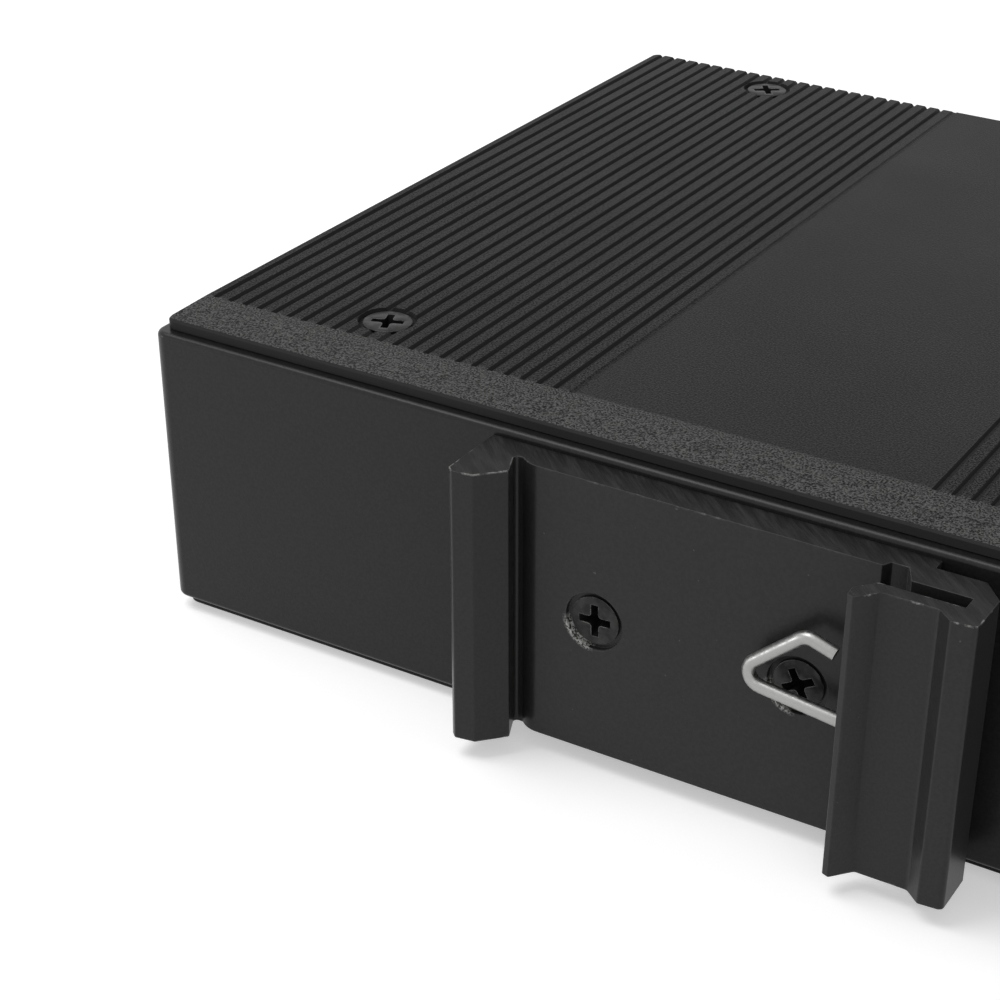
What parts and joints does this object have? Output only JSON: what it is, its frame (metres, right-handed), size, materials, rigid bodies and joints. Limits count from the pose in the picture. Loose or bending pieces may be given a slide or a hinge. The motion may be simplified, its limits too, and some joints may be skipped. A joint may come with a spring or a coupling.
{
  "type": "din rail ethernet switch",
  "caption": "Slim black metal DIN-rail network switch with finely grooved side covers, a rear rail clip with a wire spring, and RJ45 jacks and a screw terminal on the front.",
  "frame": {"origin": "centre of the lower side cover's underside", "axes": "+X up when mounted on the rail, +Y out of the port face, +Z across the width towards the upper side cover"},
  "size_m": [0.1128, 0.1105, 0.03],
  "materials": {
    "black_paint": "satin powder coat",
    "black_screw": "black oxide",
    "spring_steel": "drawn wire",
    "zinc_steel": "zinc plated",
    "nickel_sheet": "nickel plated sheet",
    "gold_contact": "gold plated",
    "tin": "tin plated",
    "black_plastic": "moulded",
    "green_plastic": "moulded",
    "board_green": "solder mask on glass-epoxy",
    "clear_plastic": "clear light guide",
    "green_lens": "tinted lamp body",
    "chip_plastic": "moulded epoxy",
    "black_aluminium": "black anodised extrusion",
    "can_aluminium": "can",
    "tape_grey": "thermal tape",
    "ferrite": "ferrite",
    "ceramic_white": "ceramic"
  },
  "bodies": {
    "root": {"housing": "black_paint", "upper_cover": "black_paint", "lower_cover": "black_paint", "upper_cover_screws": "black_screw", "lower_cover_screws": "black_screw", "rail_clip": "black_paint", "rail_clip_screws": "black_screw", "rail_spring": "spring_steel", "circuit_board": "board_green", "board_screws": "zinc_steel", "port_contacts": "gold_contact", "port_lenses": "clear_plastic", "power_header": "green_plastic", "power_header_pins": "tin", "power_plug": "green_plastic", "power_plug_screws": "zinc_steel", "power_plug_clamps": "nickel_sheet", "power_led": "green_lens", "power_led_leads": "tin", "switch_chip": "chip_plastic", "thermal_tape": "tape_grey", "chip_heatsink": "black_aluminium", "port_transformers": "chip_plastic", "filter_capacitors": "can_aluminium", "power_inductor": "ferrite", "power_regulator": "chip_plastic", "memory_chip": "chip_plastic", "crystal": "nickel_sheet", "input_fuse": "ceramic_white", "port_1_shield": "nickel_sheet", "port_1_insert": "black_plastic", "port_2_shield": "nickel_sheet", "port_2_insert": "black_plastic", "port_3_shield": "nickel_sheet", "port_3_insert": "black_plastic", "port_4_shield": "nickel_sheet", "port_4_insert": "black_plastic", "port_5_shield": "nickel_sheet", "port_5_insert": "black_plastic"}
  },
  "joints": []
}
